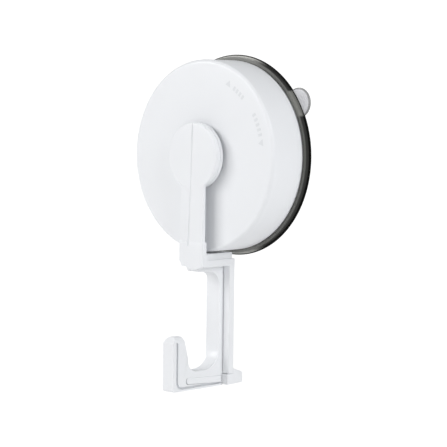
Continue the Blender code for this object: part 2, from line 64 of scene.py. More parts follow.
def faceBox(node):  # lowest and highest corners of a node in the face frame
    low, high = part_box(node)
    return Vector((low.x, low.z, -high.y)), Vector((high.x, high.z, -low.y))


def linkNew(name, mesh):
    obj = bpy.data.objects.new(name, mesh)
    bpy.context.scene.collection.objects.link(obj)
    return obj


def applied(obj):  # replaces the object's mesh by its evaluated one and drops the modifiers
    bpy.context.view_layer.update()
    graph = bpy.context.evaluated_depsgraph_get()
    mesh = bpy.data.meshes.new_from_object(obj.evaluated_get(graph))
    obj.modifiers.clear()
    obj.data = mesh
    return obj


def meshFrom(body, name="shape"):
    bmesh.ops.remove_doubles(body, verts=body.verts, dist=weldDistance)
    bmesh.ops.recalc_face_normals(body, faces=body.faces)
    mesh = bpy.data.meshes.new(name)
    body.to_mesh(mesh)
    body.free()
    return mesh


def rounded(corners, steps=6):  # corners are (x, y, radius); a radius of 0 stays sharp
    points = []
    for i, (x, y, radius) in enumerate(corners):
        here = Vector((x, y))
        if radius == 0:
            points.append(here)
            continue
        before = (Vector(corners[i - 1][:2]) - here).normalized()
        after = (Vector(corners[(i + 1) % len(corners)][:2]) - here).normalized()
        half = 0.5 * before.angle(after)
        centre = here + (before + after).normalized() * radius / math.sin(half)
        first = here + before * radius / math.tan(half) - centre
        last = here + after * radius / math.tan(half) - centre
        start = math.atan2(first.y, first.x)
        turn = (math.atan2(last.y, last.x) - start + math.pi) % (2 * math.pi) - math.pi
        for step in range(steps + 1):
            angle = start + turn * step / steps
            points.append(centre + radius * Vector((math.cos(angle), math.sin(angle))))
    return points


def arc(centre, radius, start, end, steps=16):  # angles in degrees
    angles = [math.radians(start + (end - start) * i / steps) for i in range(steps + 1)]
    return [Vector((centre[0] + radius * math.cos(a), centre[1] + radius * math.sin(a))) for a in angles]


def circle(centre, radius, points):
    return arc(centre, radius, 0, 360 * (points - 1) / points, points - 1)


def turned(name, profile, steps, closed):  # profile of (radius, height) turned about z
    body = bmesh.new()
    points = [body.verts.new((p[0], 0, p[1])) for p in profile]
    edges = [body.edges.new(pair) for pair in zip(points, points[1:])]
    if closed:
        edges.append(body.edges.new((points[-1], points[0])))
    mesh = bpy.data.meshes.new(name)
    body.to_mesh(mesh)
    body.free()
    obj = linkNew(name, mesh)
    screw = obj.modifiers.new("turn", "SCREW")
    screw.steps = screw.render_steps = steps
    screw.use_merge_vertices = True
    screw.merge_threshold = weldDistance
    applied(obj)
    body = bmesh.new()
    body.from_mesh(obj.data)
    obj.data = meshFrom(body, name)
    return obj


def loft(name, outline, place):  # two copies of a flat outline joined by a wall
    body = bmesh.new()
    rings = [[body.verts.new(place(p[0], p[1], end)) for p in outline] for end in (0, 1)]
    body.faces.new(rings[0][::-1])
    body.faces.new(rings[1])
    for i in range(len(outline)):
        j = (i + 1) % len(outline)
        body.faces.new((rings[0][i], rings[0][j], rings[1][j], rings[1][i]))
    return linkNew(name, meshFrom(body, name))


def faceSlab(name, outline, low, high):  # outline in x and y, depth from low to high
    return loft(name, outline, lambda a, b, end: (a, b, (low, high)[end]))


def sideSlab(name, outline, low, high):  # outline in depth and height, x from low to high
    return loft(name, outline, lambda a, b, end: ((low, high)[end], b, a))


def crossSlab(name, outline, low, high):  # outline in x and depth, y from low to high
    return loft(name, outline, lambda a, b, end: (a, (low, high)[end], b))


def boxSlab(name, low, high):
    outline = [(low[0], low[1]), (high[0], low[1]), (high[0], high[1]), (low[0], high[1])]
    return faceSlab(name, outline, low[2], high[2])


def softened(obj, width, segments=3, angle=35):
    bevel = obj.modifiers.new("soften", "BEVEL")
    bevel.width = width
    bevel.segments = segments
    bevel.limit_method = "ANGLE"
    bevel.angle_limit = math.radians(angle)
    return applied(obj)


def combined(obj, others, operation):
    for other in others:
        modifier = obj.modifiers.new(other.name, "BOOLEAN")
        modifier.operation = operation
        modifier.object = other
    applied(obj)
    for other in others:
        bpy.data.objects.remove(other, do_unlink=True)
    return obj


def finished(obj, material, body, replaced=(), angle=30):
    # turns the piece upright, shades it, gives it its material and fastens it to its body
    obj.data.transform(upright)
    obj.data.materials.clear()
    obj.data.materials.append(material)
    for face in obj.data.polygons:
        face.material_index = 0
    obj.data.shade_smooth()
    obj.data.set_sharp_from_angle(angle=math.radians(angle))
    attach(obj, body)
    if replaced:
        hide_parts(*replaced)
    return obj


def addNode(tree, kind, place, **values):
    node = tree.nodes.new(kind)
    node.location = place
    for name, value in values.items():
        setattr(node, name, value)
    return node


def grainGroup():  # fine moulded grain and slow clouds of tone, shared by all the plastics
    group = bpy.data.node_groups.new("mouldedGrain", "ShaderNodeTree")
    face = group.interface
    for name, kind, value in (
        ("Tone", "NodeSocketColor", (0.9, 0.9, 0.9, 1)),
        ("Shade", "NodeSocketColor", (0.85, 0.85, 0.86, 1)),
        ("Grain Scale", "NodeSocketFloat", 2600.0),
        ("Cloud Scale", "NodeSocketFloat", 28.0),
        ("Gloss Low", "NodeSocketFloat", 0.3),
        ("Gloss High", "NodeSocketFloat", 0.4),
    ):
        socket = face.new_socket(name, in_out="INPUT", socket_type=kind)
        socket.default_value = value
    for name, kind in (("Color", "Color"), ("Roughness", "Float"), ("Height", "Float")):
        face.new_socket(name, in_out="OUTPUT", socket_type="NodeSocket" + kind)
    start = addNode(group, "NodeGroupInput", (-900, 0))
    end = addNode(group, "NodeGroupOutput", (500, 0))
    coords = addNode(group, "ShaderNodeTexCoord", (-900, -300))
    grain = addNode(group, "ShaderNodeTexNoise", (-600, -200))
    grain.inputs["Detail"].default_value = 3.0
    cloud = addNode(group, "ShaderNodeTexNoise", (-600, 100))
    cloud.inputs["Detail"].default_value = 2.0
    mix = addNode(group, "ShaderNodeMix", (0, 100), data_type="RGBA")
    gloss = addNode(group, "ShaderNodeMapRange", (0, -100))
    join = group.links.new
    join(coords.outputs["Object"], grain.inputs["Vector"])
    join(coords.outputs["Object"], cloud.inputs["Vector"])
    join(start.outputs["Grain Scale"], grain.inputs["Scale"])
    join(start.outputs["Cloud Scale"], cloud.inputs["Scale"])
    join(cloud.outputs["Fac"], mix.inputs["Factor"])
    join(start.outputs["Tone"], mix.inputs["A"])
    join(start.outputs["Shade"], mix.inputs["B"])
    join(cloud.outputs["Fac"], gloss.inputs["Value"])
    join(start.outputs["Gloss Low"], gloss.inputs["To Min"])
    join(start.outputs["Gloss High"], gloss.inputs["To Max"])
    join(mix.outputs["Result"], end.inputs["Color"])
    join(gloss.outputs["Result"], end.inputs["Roughness"])
    join(grain.outputs["Fac"], end.inputs["Height"])
    return group


def brushGroup():  # lines of a drawn or turned metal
    group = bpy.data.node_groups.new("drawnMetal", "ShaderNodeTree")
    face = group.interface
    for name, value in (("Line Scale", 900.0), ("Low", 0.22), ("High", 0.42)):
        face.new_socket(name, in_out="INPUT", socket_type="NodeSocketFloat").default_value = value
    for name in ("Roughness", "Height"):
        face.new_socket(name, in_out="OUTPUT", socket_type="NodeSocketFloat")
    start = addNode(group, "NodeGroupInput", (-900, 0))
    end = addNode(group, "NodeGroupOutput", (400, 0))
    coords = addNode(group, "ShaderNodeTexCoord", (-900, -200))
    stretch = addNode(group, "ShaderNodeMapping", (-700, -200))
    stretch.inputs["Scale"].default_value = (1.0, 0.08, 1.0)
    lines = addNode(group, "ShaderNodeTexNoise", (-450, -100))
    spread = addNode(group, "ShaderNodeMapRange", (-100, 0))
    join = group.links.new
    join(coords.outputs["Object"], stretch.inputs["Vector"])
    join(stretch.outputs["Vector"], lines.inputs["Vector"])
    join(start.outputs["Line Scale"], lines.inputs["Scale"])
    join(lines.outputs["Fac"], spread.inputs["Value"])
    join(start.outputs["Low"], spread.inputs["To Min"])
    join(start.outputs["High"], spread.inputs["To Max"])
    join(spread.outputs["Result"], end.inputs["Roughness"])
    join(lines.outputs["Fac"], end.inputs["Height"])
    return group


mouldedGrain = grainGroup()
drawnMetal = brushGroup()


def plastic(name, tone, shade, gloss, grainScale=2600.0, relief=0.00002, bumpStrength=0.25, sheen=0.0):
    # gloss is the lowest and the highest roughness
    material = bpy.data.materials.new(name)
    material.use_nodes = True
    tree = material.node_tree
    shader = tree.nodes["Principled BSDF"]
    group = addNode(tree, "ShaderNodeGroup", (-500, 100), node_tree=mouldedGrain)
    group.inputs["Tone"].default_value = (*tone, 1)
    group.inputs["Shade"].default_value = (*shade, 1)
    group.inputs["Grain Scale"].default_value = grainScale
    group.inputs["Gloss Low"].default_value = gloss[0]
    group.inputs["Gloss High"].default_value = gloss[1]
    bump = addNode(tree, "ShaderNodeBump", (-250, -200))
    bump.inputs["Strength"].default_value = bumpStrength
    bump.inputs["Distance"].default_value = relief
    tree.links.new(group.outputs["Color"], shader.inputs["Base Color"])
    tree.links.new(group.outputs["Roughness"], shader.inputs["Roughness"])
    tree.links.new(group.outputs["Height"], bump.inputs["Height"])
    tree.links.new(bump.outputs["Normal"], shader.inputs["Normal"])
    shader.inputs["IOR"].default_value = 1.49
    shader.inputs["Sheen Weight"].default_value = sheen
    return material


def steel(name, tone):
    material = bpy.data.materials.new(name)
    material.use_nodes = True
    tree = material.node_tree
    shader = tree.nodes["Principled BSDF"]
    shader.inputs["Base Color"].default_value = (*tone, 1)
    shader.inputs["Metallic"].default_value = 1.0
    group = addNode(tree, "ShaderNodeGroup", (-500, 100), node_tree=drawnMetal)
    bump = addNode(tree, "ShaderNodeBump", (-250, -200))
    bump.inputs["Strength"].default_value = 0.3
    bump.inputs["Distance"].default_value = 0.00002
    tree.links.new(group.outputs["Roughness"], shader.inputs["Roughness"])
    tree.links.new(group.outputs["Height"], bump.inputs["Height"])
    tree.links.new(bump.outputs["Normal"], shader.inputs["Normal"])
    return material


# Pad: the rim has its own grey with painted dark reflection, a painted highlight band and painted side shade;
# clear at the tab
pad = {
    "wallRadius": 0.0420, "wallInner": 0.0403, "wallTop": 0.0041, "sheet": 0.0022,
    "lipHeight": 0.0018, "lipInset": 0.0002, "footRadius": 0.0413,
    "bossRadius": 0.0093, "bossTop": 0.0032, "bossFlare": 0.0004,
    "pocketRadius": 0.0069, "pocketFloor": 0.0012,
    "ringGrooves": (0.0385, 0.0300, 0.0215), "grooveDepth": 0.00025, "grooveWidth": 0.0009,
    "steps": 256, "shine": 0.08, "warmth": 0.95, "outerEdge": 0.990, "sideFrom": 0.18, "sideTo": 0.45,
    # rim greys by radius: its own grey inward, then painted dark reflection out to the lip
    "sidePaintedBands": (
        (0.0, 0.20), (0.930, 0.17), (0.9535, 0.170), (0.970, 0.175),
        (0.9752, 0.058), (0.9785, 0.012), (1.0, 0.003),
    ),
    # the same at the top and the bottom, with a painted highlight band before the dark lip
    "endPaintedBands": (
        (0.0, 0.25), (0.930, 0.26), (0.9535, 0.280), (0.9755, 0.260),
        (0.9780, 0.700), (0.9870, 0.700), (0.9900, 0.02),
    ),
}
tab = {
    "angle": 32.7, "width": 0.01256, "reach": 0.0484, "root": 0.0405,
    "low": 0.0010, "high": 0.0020, "edge": 0.00035,
    "ridges": 4, "ridgePitch": 0.0011, "ridgeLength": 12.0, "ridgeRadius": 0.00022,
    "ridgeStart": 0.0010, "ridgeSink": 0.00008,
    "tone": (0.90, 0.90, 0.92), "shade": (0.86, 0.86, 0.88), "clearness": 0.25, "bend": 1.46,
    # painted shade along the tab's rounded rim
    "paintedRimTone": (0.36, 0.36, 0.36), "rimFrom": 0.0008, "rimTo": 0.0004,
    "rootTone": 0.24, "rootWarmth": 0.93, "rootFade": 0.01,
}
padRadius = faceBox("suction_pad")[1].x


# painted reflection and highlight: the rim's own grey, dark bands for reflection and a light highlight band
def paintedBandRamp(tree, place, bands):  # greys by distance from the middle, as shares of the pad's radius
    node = addNode(tree, "ShaderNodeValToRGB", place)
    ramp = node.color_ramp
    for spot, (where, tone) in enumerate(bands):
        if spot == 0:
            element = ramp.elements[0]
        elif spot == 1:
            element = ramp.elements[1]
        else:
            element = ramp.elements.new(where)
        element.position = where
        element.color = (tone, tone, pad["warmth"] * tone, 1)
    return node


def padMaterial():
    tone = (tab["rootTone"],) * 3
    material = plastic("padPlasticPaintedRim", tone, tone, (0.22, 0.28), 700.0, 0.00002, 0.12)
    tree = material.node_tree
    join = tree.links.new
    shader = tree.nodes["Principled BSDF"]
    shader.inputs["Specular IOR Level"].default_value = pad["shine"]
    coords = addNode(tree, "ShaderNodeTexCoord", (-1600, 300))
    flat = addNode(tree, "ShaderNodeMapping", (-1400, 300))
    flat.inputs["Scale"].default_value = (1 / padRadius, 0, 1 / padRadius)
    radius = addNode(tree, "ShaderNodeVectorMath", (-1200, 300), operation="LENGTH")
    sidePaintedBand = paintedBandRamp(tree, (-950, 500), pad["sidePaintedBands"])
    endPaintedBand = paintedBandRamp(tree, (-950, 250), pad["endPaintedBands"])
    join(coords.outputs["Object"], flat.inputs["Vector"])
    join(flat.outputs["Vector"], radius.inputs[0])
    for band in (sidePaintedBand, endPaintedBand):
        join(radius.outputs["Value"], band.inputs["Fac"])
    # Painted shade: the rim is darker at both sides and lighter towards the top and the bottom
    split = addNode(tree, "ShaderNodeSeparateXYZ", (-1200, 0))
    aside = addNode(tree, "ShaderNodeMath", (-1000, 0), operation="ABSOLUTE")
    blend = addNode(tree, "ShaderNodeMapRange", (-800, 0), interpolation_type="SMOOTHSTEP")
    blend.inputs["From Min"].default_value = pad["sideFrom"]
    blend.inputs["From Max"].default_value = pad["sideTo"]
    rim = addNode(tree, "ShaderNodeMix", (-550, 400), data_type="RGBA")
    join(flat.outputs["Vector"], split.inputs["Vector"])
    join(split.outputs["X"], aside.inputs[0])
    join(aside.outputs["Value"], blend.inputs["Value"])
    join(blend.outputs["Result"], rim.inputs["Factor"])
    join(endPaintedBand.outputs["Color"], rim.inputs["A"])
    join(sidePaintedBand.outputs["Color"], rim.inputs["B"])
    # The painted rim turns a lighter grey at the root of the tab, all but its outer edge, where the painted
    # dark reflection gives way
    root = addNode(tree, "ShaderNodeVectorMath", (-1200, -300), operation="DISTANCE")
    angle = math.radians(tab["angle"])
    root.inputs[1].default_value = (math.cos(angle), 0, math.sin(angle))
    near = addNode(tree, "ShaderNodeMapRange", (-1000, -300))
    half = 0.5 * tab["width"] / padRadius
    near.inputs["From Min"].default_value = half - tab["rootFade"]
    near.inputs["From Max"].default_value = half + tab["rootFade"]
    near.inputs["To Min"].default_value = 1.0
    near.inputs["To Max"].default_value = 0.0
    edge = addNode(tree, "ShaderNodeMath", (-1000, -600), operation="LESS_THAN")
    edge.inputs[1].default_value = pad["outerEdge"]
    both = addNode(tree, "ShaderNodeMath", (-750, -400), operation="MULTIPLY")
    lighter = addNode(tree, "ShaderNodeMix", (-300, 300), data_type="RGBA")
    lighter.inputs["B"].default_value = (*tone[:2], tab["rootWarmth"] * tab["rootTone"], 1)
    join(flat.outputs["Vector"], root.inputs[0])
    join(root.outputs["Value"], near.inputs["Value"])
    join(radius.outputs["Value"], edge.inputs[0])
    join(near.outputs["Result"], both.inputs[0])
    join(edge.outputs["Value"], both.inputs[1])
    join(both.outputs["Value"], lighter.inputs["Factor"])
    join(rim.outputs["Result"], lighter.inputs["A"])
    join(lighter.outputs["Result"], shader.inputs["Base Color"])
    return material


def makePad():
    p = pad
    profile = [
        (0, p["pocketFloor"], 0), (p["pocketRadius"], p["pocketFloor"], 0.0001),
        (p["pocketRadius"], p["bossTop"], 0.0002), (p["bossRadius"], p["bossTop"], 0.0002),
        (p["bossRadius"] + p["bossFlare"], p["sheet"], 0.0002), (p["wallInner"], p["sheet"], 0.0002),
        (p["wallInner"], p["wallTop"], 0.0003), (p["wallRadius"], p["wallTop"], 0.0004),
        (p["wallRadius"], p["sheet"], 0.0001), (padRadius - p["lipInset"], p["sheet"], 0.0001),
        (padRadius, p["lipHeight"], 0.0001), (p["footRadius"], 0, 0.0003),
    ]
    half = 0.5 * p["grooveWidth"]
    for radius in p["ringGrooves"]:  # shallow rings on the face that meets the wall
        profile += [
            (radius + half, 0, 0.0001), (radius + 0.5 * half, p["grooveDepth"], 0.0001),
            (radius - 0.5 * half, p["grooveDepth"], 0.0001), (radius - half, 0, 0.0001),
        ]
    profile.append((0, 0, 0))
    body = turned("pad", rounded(profile, 5), p["steps"], False)
    return finished(body, padMaterial(), "base", ["suction_pad"])


def clearMaterial():
    material = plastic("clearSoftPlastic", tab["tone"], tab["shade"], (0.22, 0.30), 900.0, 0.00002, 0.12)
    tree = material.node_tree
    join = tree.links.new
    shader = tree.nodes["Principled BSDF"]
    grain = next(node for node in tree.nodes if node.type == "GROUP")
    # Painted shade: the clear plastic is painted grey along its rounded rim
    coords = addNode(tree, "ShaderNodeTexCoord", (-1100, 400))
    reach = addNode(tree, "ShaderNodeVectorMath", (-900, 400), operation="DISTANCE")
    half = 0.5 * tab["width"]
    angle, centre = math.radians(tab["angle"]), tab["reach"] - half
    middle = -0.5 * (tab["low"] + tab["high"])
    reach.inputs[1].default_value = (centre * math.cos(angle), middle, centre * math.sin(angle))
    rim = addNode(tree, "ShaderNodeMapRange", (-700, 400))
    rim.inputs["From Min"].default_value = half - tab["rimFrom"]
    rim.inputs["From Max"].default_value = half - tab["rimTo"]
    edge = addNode(tree, "ShaderNodeMix", (-300, 400), data_type="RGBA")
    edge.inputs["B"].default_value = (*tab["paintedRimTone"], 1)
    join(coords.outputs["Object"], reach.inputs[0])
    join(reach.outputs["Value"], rim.inputs["Value"])
    join(rim.outputs["Result"], edge.inputs["Factor"])
    join(grain.outputs["Color"], edge.inputs["A"])
    join(edge.outputs["Result"], shader.inputs["Base Color"])
    shader.inputs["Transmission Weight"].default_value = tab["clearness"]
    shader.inputs["IOR"].default_value = tab["bend"]
    return material


def startTree(name, kinds):  # a geometry tree with named inputs
    tree = bpy.data.node_groups.new(name, "GeometryNodeTree")
    face = tree.interface
    face.new_socket("Geometry", in_out="OUTPUT", socket_type="NodeSocketGeometry")
    sockets = {}
    for key, kind in kinds.items():
        sockets[key] = face.new_socket(key, in_out="INPUT", socket_type="NodeSocket" + kind).identifier
    return tree, sockets, addNode(tree, "NodeGroupInput", (-1200, 0))


def endTree(tree, start, made):  # every tree ends in plain geometry with its material
    real = addNode(tree, "GeometryNodeRealizeInstances", (600, 0))
    paint = addNode(tree, "GeometryNodeSetMaterial", (800, 0))
    end = addNode(tree, "NodeGroupOutput", (1000, 0))
    join = tree.links.new
    join(made, real.inputs["Geometry"])
    join(real.outputs["Geometry"], paint.inputs["Geometry"])
    join(start.outputs["Material"], paint.inputs["Material"])
    join(paint.outputs["Geometry"], end.inputs["Geometry"])


def ridgeTree():  # evenly spaced finger ridges across the tab
    tree, sockets, start = startTree("fingerRidges", {
        "Count": "Int", "Pitch": "Float", "Length": "Float", "Radius": "Float", "Material": "Material",
    })
    step = addNode(tree, "ShaderNodeCombineXYZ", (-600, -100))
    row = addNode(tree, "GeometryNodeMeshLine", (-400, 100), mode="OFFSET")
    bar = addNode(tree, "GeometryNodeMeshUVSphere", (-400, -200))
    bar.inputs["Segments"].default_value = 12
    bar.inputs["Rings"].default_value = 8
    stretch = addNode(tree, "ShaderNodeCombineXYZ", (-400, -400))
    stretch.inputs["X"].default_value = 1.0
    stretch.inputs["Z"].default_value = 0.8
    place = addNode(tree, "GeometryNodeInstanceOnPoints", (0, 0))
    join = tree.links.new
    join(start.outputs["Count"], row.inputs["Count"])
    join(start.outputs["Pitch"], step.inputs["X"])
    join(step.outputs["Vector"], row.inputs["Offset"])
    join(start.outputs["Radius"], bar.inputs["Radius"])
    join(start.outputs["Length"], stretch.inputs["Y"])
    join(row.outputs["Mesh"], place.inputs["Points"])
    join(bar.outputs["Mesh"], place.inputs["Instance"])
    join(stretch.outputs["Vector"], place.inputs["Scale"])
    endTree(tree, start, place.outputs["Instances"])
    return tree, sockets


def grown(name, tree, sockets, values):  # runs a geometry tree once and keeps the plain mesh
    obj = linkNew(name, bpy.data.meshes.new(name))
    modifier = obj.modifiers.new("grow", "NODES")
    modifier.node_group = tree
    for key, value in values.items():
        modifier[sockets[key]] = value
    return applied(obj)


def makeTab():
    t = tab
    half = 0.5 * t["width"]
    outline = [(t["root"], -half)] + arc((t["reach"] - half, 0), half, -90, 90, 48) + [(t["root"], half)]
    flap = softened(faceSlab("pullTab", outline, t["low"], t["high"]), t["edge"], 3, 60)
    clear = clearMaterial()
    tree, sockets = ridgeTree()
    ridges = grown("tabRidges", tree, sockets, {
        "Count": t["ridges"], "Pitch": t["ridgePitch"], "Length": t["ridgeLength"],
        "Radius": t["ridgeRadius"], "Material": clear,
    })
    spread = Matrix.Translation((padRadius + t["ridgeStart"], 0, t["high"] - t["ridgeSink"]))
    turn = Matrix.Rotation(math.radians(t["angle"]), 4, "Z")
    ridges.data.transform(turn @ spread)
    flap.data.transform(turn)
    finished(ridges, clear, "base")
    return finished(flap, clear, "base")


makePad()
makeTab()
print("pad and tab made")

# White mouldings
white = plastic(
    "whitePlastic", (0.905, 0.920, 0.940), (0.885, 0.895, 0.915), (0.30, 0.38), 3000.0, 0.00001, 0.18,
)
cover = {
    "wall": 0.0020, "frontRound": 0.0017, "rearRound": 0.0006, "bore": 0.0093, "steps": 256,
    "bossCircle": 0.0160, "bossAngles": (90, 210, 330), "bossRadius": 0.0030, "bossLow": 0.0095,
    "bossHole": 0.0014, "holeEnd": 0.0050,
    "marks": {  # radius, first and last dash in degrees, how many dashes, and the arrowhead in degrees
        "openMark": (0.0337, 47.0, 57.0, 4, 63.4), "closeMark": (0.0344, 30.7, 16.0, 5, 10.4),
    },
    "dashHigh": 0.0019, "dashWide": 0.0011, "relief": 0.00015, "headSize": 0.0017,
}
coverLow, coverHigh = faceBox("twist_cover")


def makeCover():
    c = cover
    radius, rear, front = coverHigh.x, coverLow.z, coverHigh.z
    profile = [
        (c["bore"], front, 0.0003), (radius, front, c["frontRound"]), (radius, rear, c["rearRound"]),
        (radius - c["wall"], rear, 0.0004), (radius - c["wall"], front - c["wall"], 0.0010),
        (c["bore"], front - c["wall"], 0.0002),
    ]
    shell = turned("cover", rounded(profile, 8), c["steps"], True)
    bosses, holes = [], []
    for angle in c["bossAngles"]:
        spot = c["bossCircle"] * Vector((math.cos(math.radians(angle)), math.sin(math.radians(angle))))
        bosses.append(faceSlab("boss", circle(spot, c["bossRadius"], 36), c["bossLow"], front - past))
        hole = circle(spot, c["bossHole"], 24)
        holes.append(faceSlab("hole", hole, c["bossLow"] - past, front - c["holeEnd"]))
    combined(shell, bosses, "UNION")
    combined(shell, holes, "DIFFERENCE")
    return finished(shell, white, "cover", ["twist_cover"])


def markTree():  # short bars along an arc, with an arrowhead past the last one
    tree, sockets, start = startTree("turnMark", {
        "Count": "Int", "Radius": "Float", "Start": "Float", "End": "Float", "Head Angle": "Float",
        "Head Turn": "Float", "Head Size": "Float", "Bar": "Vector", "Material": "Material",
    })
    row = addNode(tree, "GeometryNodeMeshLine", (-900, 200))
    count = addNode(tree, "GeometryNodeInputIndex", (-900, 0))
    last = addNode(tree, "ShaderNodeMath", (-900, -150), operation="SUBTRACT")
    last.inputs[1].default_value = 1.0
    along = addNode(tree, "ShaderNodeMapRange", (-700, 0))
    ray = addNode(tree, "ShaderNodeCombineXYZ", (-500, -100))
    point = addNode(tree, "ShaderNodeCombineXYZ", (-500, 100))
    turnPoint = addNode(tree, "ShaderNodeVectorRotate", (-300, 100), rotation_type="Z_AXIS")
    move = addNode(tree, "GeometryNodeSetPosition", (-100, 200))
    bar = addNode(tree, "GeometryNodeMeshCube", (-100, -100))
    bars = addNode(tree, "GeometryNodeInstanceOnPoints", (150, 200))
    tip = addNode(tree, "GeometryNodeMeshCylinder", (-300, -300), fill_type="NGON")
    tip.inputs["Vertices"].default_value = 3
    depth = addNode(tree, "ShaderNodeSeparateXYZ", (-600, -400))
    tipPoint = addNode(tree, "ShaderNodeVectorRotate", (-300, -500), rotation_type="Z_AXIS")
    tipTurn = addNode(tree, "ShaderNodeCombineXYZ", (-300, -650))
    tipPlace = addNode(tree, "GeometryNodeTransform", (150, -300))
    both = addNode(tree, "GeometryNodeJoinGeometry", (400, 0))
    join = tree.links.new
    join(start.outputs["Count"], row.inputs["Count"])
    join(start.outputs["Count"], last.inputs[0])
    join(count.outputs["Index"], along.inputs["Value"])
    join(last.outputs["Value"], along.inputs["From Max"])
    join(start.outputs["Start"], along.inputs["To Min"])
    join(start.outputs["End"], along.inputs["To Max"])
    join(start.outputs["Radius"], point.inputs["X"])
    join(point.outputs["Vector"], turnPoint.inputs["Vector"])
    join(along.outputs["Result"], turnPoint.inputs["Angle"])
    join(row.outputs["Mesh"], move.inputs["Geometry"])
    join(turnPoint.outputs["Vector"], move.inputs["Position"])
    join(along.outputs["Result"], ray.inputs["Z"])
    join(move.outputs["Geometry"], bars.inputs["Points"])
    join(start.outputs["Bar"], bar.inputs["Size"])
    join(bar.outputs["Mesh"], bars.inputs["Instance"])
    join(ray.outputs["Vector"], bars.inputs["Rotation"])
    join(start.outputs["Bar"], depth.inputs["Vector"])
    join(start.outputs["Head Size"], tip.inputs["Radius"])
    join(depth.outputs["Z"], tip.inputs["Depth"])
    join(point.outputs["Vector"], tipPoint.inputs["Vector"])
    join(start.outputs["Head Angle"], tipPoint.inputs["Angle"])
    join(start.outputs["Head Turn"], tipTurn.inputs["Z"])
    join(tip.outputs["Mesh"], tipPlace.inputs["Geometry"])
    join(tipPoint.outputs["Vector"], tipPlace.inputs["Translation"])
    join(tipTurn.outputs["Vector"], tipPlace.inputs["Rotation"])
    join(bars.outputs["Instances"], both.inputs["Geometry"])
    join(tipPlace.outputs["Geometry"], both.inputs["Geometry"])
    endTree(tree, start, both.outputs["Geometry"])
    return tree, sockets


def makeMarks():
    c = cover
    ink = plastic("markPlastic", (0.805, 0.82, 0.84), (0.785, 0.80, 0.82), (0.35, 0.42))
    tree, sockets = markTree()
    for name, (radius, first, final, dashes, tip) in c["marks"].items():
        head = math.radians(tip)
        mark = grown(name, tree, sockets, {
            "Count": dashes, "Radius": radius, "Start": math.radians(first), "End": math.radians(final),
            "Head Angle": head, "Head Turn": head + (0 if final > first else math.pi),
            "Head Size": c["headSize"],
            "Bar": (c["dashHigh"], c["dashWide"], 2 * c["relief"]), "Material": ink,
        })
        mark.data.transform(Matrix.Translation((0, 0, coverHigh.z - 0.5 * c["relief"])))
        finished(mark, ink, "cover")


makeCover()
makeMarks()
print("cover and marks made")

# Hook: hub, arm, block, shelf, column and J as one moulding
hook = {
    "rear": 0.0259, "hubFront": 0.0283, "hubRound": 0.0008, "hubSteps": 192,
    "bossRadius": 0.0040, "bossLow": 0.0214, "bore": 0.00155, "boreTop": 0.0270,
    "armHalf": 0.0069, "armTop": -0.0060, "armLow": -0.0380, "armRear": 0.0269, "armFront": 0.0282,
    "rakeLap": 0.0004, "riseRear": 0.0271,
    "armEdge": 0.0003, "webRound": 0.0012, "webLap": 0.0003, "ribHalf": 0.0044, "ribLap": 0.0004,
    "riseLeft": -0.0034, "riseRound": 0.0042, "riseHeight": 0.00035,
    "creaseWide": 0.0007, "creaseSteep": 0.00012, "creaseDepth": 0.00050,
    "creaseLean": 0.030, "creaseSpot": -0.0002,
    "blockTop": -0.0360, "blockRear": 0.02594, "blockFront": 0.0287, "blockEdge": 0.0004,
    "blockCorners": (
        (-0.0069, -0.0447, 0.0016), (-0.0028, -0.0469, 0.0030), (0.0011, -0.0481, 0.0012),
        (0.0046, -0.0473, 0.0020), (0.0069, -0.0464, 0.0008),
    ),
    "shelfHalf": 0.00687, "shelfTop": -0.0437, "shelfLow": -0.0467,
    "shelfRibHalf": 0.0060, "shelfRibTop": -0.0411, "shelfRibRear": 0.0093, "shelfRibFront": 0.0273,
    "plateHalf": 0.00684, "plateRear": 0.0085, "plateFront": 0.0117, "plateTop": -0.0445, "plateLow": -0.0932,
    "seamWide": 0.0004, "seamDepth": 0.0010, "seamReach": 0.0005, "softEdge": 0.0003,
    "columnHalf": 0.0031, "columnFront": 0.0139, "cornerRound": 0.0070,
    "underRear": 0.0279, "underRib": -0.0488, "underRound": 0.0022,
    "throatFront": 0.0326, "throatLow": -0.0908, "throatRear": 0.0092, "throatRound": 0.0052,
    "throatTaper": -0.0850, "taperRound": 0.0080,
    "tipRear": 0.0352, "tipTop": -0.0752, "tipRound": 0.0012,
    "tipFacetLow": -0.0777, "tipFacet": 0.0018, "tipCutRear": 0.0324,
    "low": -0.0984, "lowRound": 0.0010, "hookRear": 0.0116, "rearTop": -0.0933, "hookEdge": 0.00035,
    "grooveDepth": 0.0016, "grooveHalf": 0.00052, "grooveFront": 0.0390,
    "grooveTop": -0.0777, "grooveLow": -0.0971, "grooveRound": 0.0028,
    "channelGap": 0.00007, "webHalf": 0.0010,
    "keeperDepth": 0.0303, "keeperHeight": -0.0946, "keeperSlot": 0.0010, "keeperTravel": 0.0006,
}
prong = {
    "frontTop": -0.0932, "frontLow": -0.0958, "rearTop": -0.0942, "rearLow": -0.0972,
    "rear": 0.0097, "end": 0.0330, "round": 0.0011, "inner": 0.0013, "outer": 0.0030, "edge": 0.0002,
}
sliver = 0.00003  # keeps two faces out of one plane where pieces are joined
hookHigh = faceBox("hook_bracket")[1]
hubRadius = hookHigh.x


def webOutline(radius, half, corner):  # the concave corner between a disc and a bar below it
    side = half + corner
    height = -math.sqrt((radius + corner) ** 2 - side ** 2)
    meet = math.degrees(math.atan2(-height, -side))
    right = arc((side, height), corner, meet, 180, 16)
    return right + [Vector((-p.x, p.y)) for p in reversed(right)]


